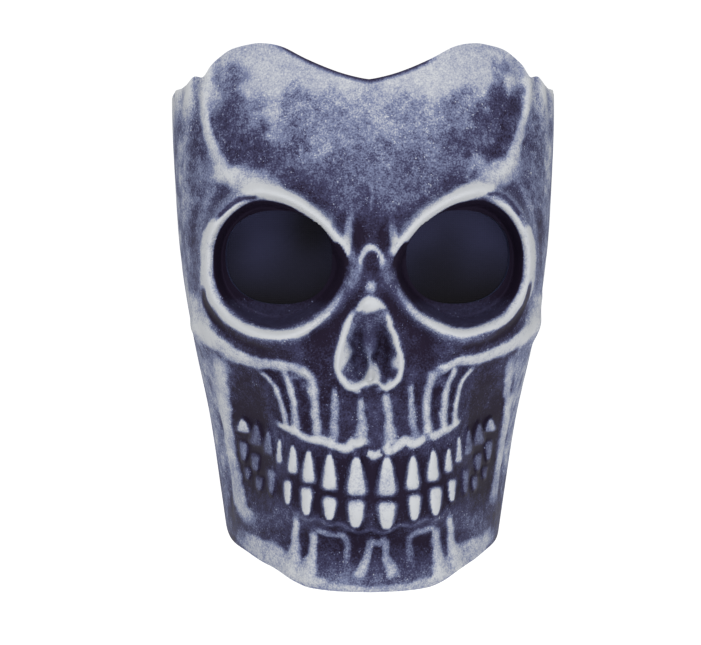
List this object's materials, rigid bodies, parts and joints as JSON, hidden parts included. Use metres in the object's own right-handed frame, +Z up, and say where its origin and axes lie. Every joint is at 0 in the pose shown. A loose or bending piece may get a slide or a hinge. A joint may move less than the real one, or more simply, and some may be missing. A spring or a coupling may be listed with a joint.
{
  "type": "latex halloween mask",
  "caption": "Open-backed moulded latex skull face mask with dark eye mesh, foam pads inside and an elastic head strap that swings on two studs.",
  "frame": {"origin": "middle plane of the mask, at the height of the eyes, in the plane of the rear edge: where the wearer's head is", "axes": "+Z up along the face, -Y the way the face looks, +X towards the wearer's left"},
  "size_m": [0.195, 0.1145, 0.266],
  "materials": {
    "painted_latex": "dark blue-violet latex with matt bone-grey paint brushed over the raised parts",
    "bare_latex": "unpainted dark latex, matt",
    "eye_gauze": "fine dark gauze",
    "elastic": "woven black elastic",
    "stud_steel": "satin nickel-plated steel",
    "foam": "dark cloth-faced foam"
  },
  "bodies": {
    "mask": {"face_shell": "painted_latex", "eye_mesh_left": "eye_gauze", "eye_mesh_right": "eye_gauze", "mesh_bead_left": "bare_latex", "mesh_bead_right": "bare_latex", "strap_stud_left": "stud_steel", "strap_stud_right": "stud_steel", "stud_cap_left": "stud_steel", "stud_cap_right": "stud_steel", "anchor_patch_left": "bare_latex", "anchor_patch_right": "bare_latex", "brow_pad": "foam", "cheek_pad_left": "foam", "cheek_pad_right": "foam"},
    "strap": {"strap_band": "elastic", "strap_eyelet_left": "stud_steel", "strap_eyelet_right": "stud_steel"}
  },
  "joints": [
    {"name": "strap_swing", "type": "hinge", "parent": "mask", "child": "strap", "pos_m": [0, -0.016, 0.04], "axis": [1, 0, 0], "range_deg": [-10, 165]}
  ]
}
